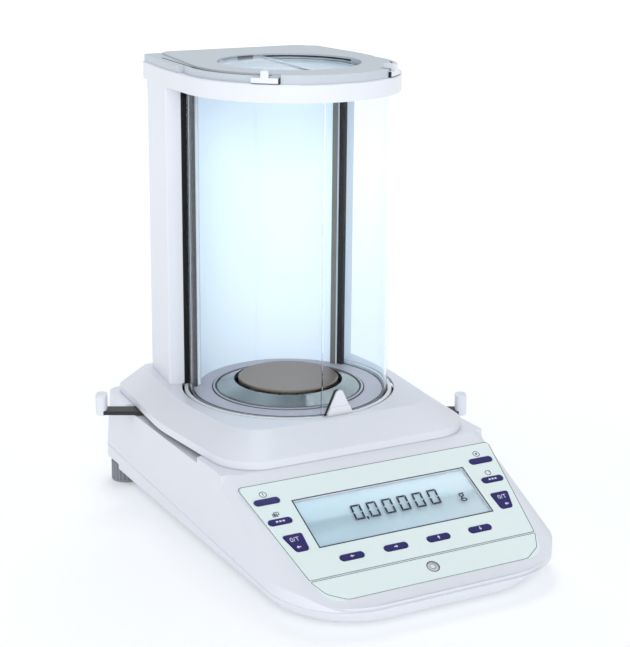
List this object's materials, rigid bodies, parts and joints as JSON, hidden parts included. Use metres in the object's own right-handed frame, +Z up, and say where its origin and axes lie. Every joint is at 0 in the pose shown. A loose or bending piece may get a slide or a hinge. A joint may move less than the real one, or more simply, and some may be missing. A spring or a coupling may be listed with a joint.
{
  "type": "analytical balance",
  "caption": "Analytical laboratory balance with a round glass draught shield of two turning doors, a lid, side levers, a steel pan and a sloping keyed display console.",
  "frame": {"origin": "centre of the weighing pan's top face", "axes": "+Z up, +X to the user's right, +Y to the back; the console faces -Y"},
  "size_m": [0.2693, 0.3617, 0.3577],
  "materials": {
    "housing": "smooth cool white moulded plastic",
    "cap_grey": "smooth pale grey moulded plastic",
    "floor_grey": "smooth light grey",
    "overlay": "satin printed film, very pale mint",
    "clear_window": "clear",
    "display": "reflective liquid crystal display",
    "vial_glass": "clear liquid",
    "key_violet": "satin indigo",
    "door_glass": "clear float glass with a faint blue tint",
    "pan_steel": "circular brushed stainless steel",
    "ring_steel": "polished stainless steel",
    "bright_steel": "machined steel",
    "aluminium_plate": "milled",
    "black_casting": "matt black paint",
    "black_plastic": "matt black",
    "seal_rubber": "black seal",
    "foot_grey": "ribbed grey plastic",
    "foot_rubber": "soft rubber",
    "circuit_board": "green laminate"
  },
  "bodies": {
    "base": {"lower_tray": "housing", "upper_cover": "housing", "hood": "housing", "turntable_base": "black_casting", "chamber_floor": "floor_grey", "overlay_sheet": "overlay", "label_strip": "overlay", "display_window": "clear_window", "display_module": "display", "key_board": "circuit_board", "level_cup": "floor_grey", "level_vial": "vial_glass", "pan_stem": "bright_steel", "tower": "housing", "chamber_wall": "housing", "edge_strips": "seal_rubber", "cap_lower": "housing", "cap_upper": "cap_grey", "lid_fixed": "door_glass", "front_feet": "foot_rubber", "tower_back": "housing", "tower_posts": "bright_steel", "lid_stop": "black_plastic", "chassis": "aluminium_plate", "load_cell": "aluminium_plate", "cal_motor": "bright_steel", "main_board": "circuit_board", "power_socket": "black_plastic", "serial_port": "bright_steel", "seal_left": "seal_rubber", "seal_right": "seal_rubber"},
    "door_left": {"door_glass_left": "door_glass", "door_rail_left": "housing", "door_top_left": "black_plastic", "door_handle_left": "housing"},
    "door_right": {"door_glass_right": "door_glass", "door_rail_right": "housing", "door_top_right": "black_plastic", "door_handle_right": "housing", "front_grip": "housing"},
    "levers": {"lever_ring": "black_plastic", "lever_knob_left": "housing", "lever_knob_right": "housing"},
    "lid": {"lid_turning": "door_glass"},
    "pan": {"weighing_pan": "pan_steel"},
    "draft_shield_ring": {"draft_ring": "ring_steel"},
    "foot_left": {"levelling_foot_left": "foot_grey"},
    "foot_right": {"levelling_foot_right": "foot_grey"},
    "cal_lift": {"cal_weight": "bright_steel", "cal_fork": "black_plastic"},
    "key_power_left": {"key_power_left": "key_violet"},
    "key_power_right": {"key_power_right": "key_violet"},
    "key_menu_left": {"key_menu_left": "key_violet"},
    "key_menu_right": {"key_menu_right": "key_violet"},
    "key_tare_left": {"key_tare_left": "key_violet"},
    "key_tare_right": {"key_tare_right": "key_violet"},
    "key_arrow_1": {"key_arrow_1": "key_violet"},
    "key_arrow_2": {"key_arrow_2": "key_violet"},
    "key_arrow_3": {"key_arrow_3": "key_violet"},
    "key_arrow_4": {"key_arrow_4": "key_violet"}
  },
  "joints": [
    {"name": "door_right_turn", "type": "hinge", "parent": "base", "child": "door_right", "pos_m": [0, 0, 0], "axis": [0, 0, 1], "range_deg": [0, 54]},
    {"name": "door_left_turn", "type": "hinge", "parent": "base", "child": "door_left", "pos_m": [0, 0, 0], "axis": [0, 0, -1], "range_deg": [0, 54]},
    {"name": "lever_swing", "type": "hinge", "parent": "base", "child": "levers", "pos_m": [0, 0, -0.03], "axis": [0, 0, 1], "range_deg": [0, 54]},
    {"name": "lid_turn", "type": "hinge", "parent": "base", "child": "lid", "pos_m": [0, 0, 0.248], "axis": [0, 0, 1], "range_deg": [0, 150]},
    {"name": "pan_lift", "type": "slide", "parent": "base", "child": "pan", "axis": [0, 0, 1], "range_m": [0, 0.04]},
    {"name": "draft_ring_lift", "type": "slide", "parent": "base", "child": "draft_shield_ring", "axis": [0, 0, 1], "range_m": [0, 0.03]},
    {"name": "cal_weight_lift", "type": "slide", "parent": "base", "child": "cal_lift", "axis": [0, 0, 1], "range_m": [0, 0.003]},
    {"name": "foot_left_turn", "type": "hinge", "parent": "base", "child": "foot_left", "pos_m": [-0.1, 0.101, -0.1], "axis": [0, 0, 1], "continuous": true},
    {"name": "foot_right_turn", "type": "hinge", "parent": "base", "child": "foot_right", "pos_m": [0.1, 0.101, -0.1], "axis": [0, 0, 1], "continuous": true},
    {"name": "key_power_left_press", "type": "slide", "parent": "base", "child": "key_power_left", "axis": [0, 0.4299, -0.9029], "range_m": [0, 0.0005], "stiffness_N_per_m": 400, "springref_m": -0.0005},
    {"name": "key_power_right_press", "type": "slide", "parent": "base", "child": "key_power_right", "axis": [0, 0.4299, -0.9029], "range_m": [0, 0.0005], "stiffness_N_per_m": 400, "springref_m": -0.0005},
    {"name": "key_menu_left_press", "type": "slide", "parent": "base", "child": "key_menu_left", "axis": [0, 0.4299, -0.9029], "range_m": [0, 0.0005], "stiffness_N_per_m": 400, "springref_m": -0.0005},
    {"name": "key_menu_right_press", "type": "slide", "parent": "base", "child": "key_menu_right", "axis": [0, 0.4299, -0.9029], "range_m": [0, 0.0005], "stiffness_N_per_m": 400, "springref_m": -0.0005},
    {"name": "key_tare_left_press", "type": "slide", "parent": "base", "child": "key_tare_left", "axis": [0, 0.4299, -0.9029], "range_m": [0, 0.0005], "stiffness_N_per_m": 400, "springref_m": -0.0005},
    {"name": "key_tare_right_press", "type": "slide", "parent": "base", "child": "key_tare_right", "axis": [0, 0.4299, -0.9029], "range_m": [0, 0.0005], "stiffness_N_per_m": 400, "springref_m": -0.0005},
    {"name": "key_arrow_1_press", "type": "slide", "parent": "base", "child": "key_arrow_1", "axis": [0, 0.4299, -0.9029], "range_m": [0, 0.0005], "stiffness_N_per_m": 400, "springref_m": -0.0005},
    {"name": "key_arrow_2_press", "type": "slide", "parent": "base", "child": "key_arrow_2", "axis": [0, 0.4299, -0.9029], "range_m": [0, 0.0005], "stiffness_N_per_m": 400, "springref_m": -0.0005},
    {"name": "key_arrow_3_press", "type": "slide", "parent": "base", "child": "key_arrow_3", "axis": [0, 0.4299, -0.9029], "range_m": [0, 0.0005], "stiffness_N_per_m": 400, "springref_m": -0.0005},
    {"name": "key_arrow_4_press", "type": "slide", "parent": "base", "child": "key_arrow_4", "axis": [0, 0.4299, -0.9029], "range_m": [0, 0.0005], "stiffness_N_per_m": 400, "springref_m": -0.0005}
  ],
  "couplings": [
    {"joint": "lever_swing", "follows": "door_right_turn", "ratio": 1}
  ]
}
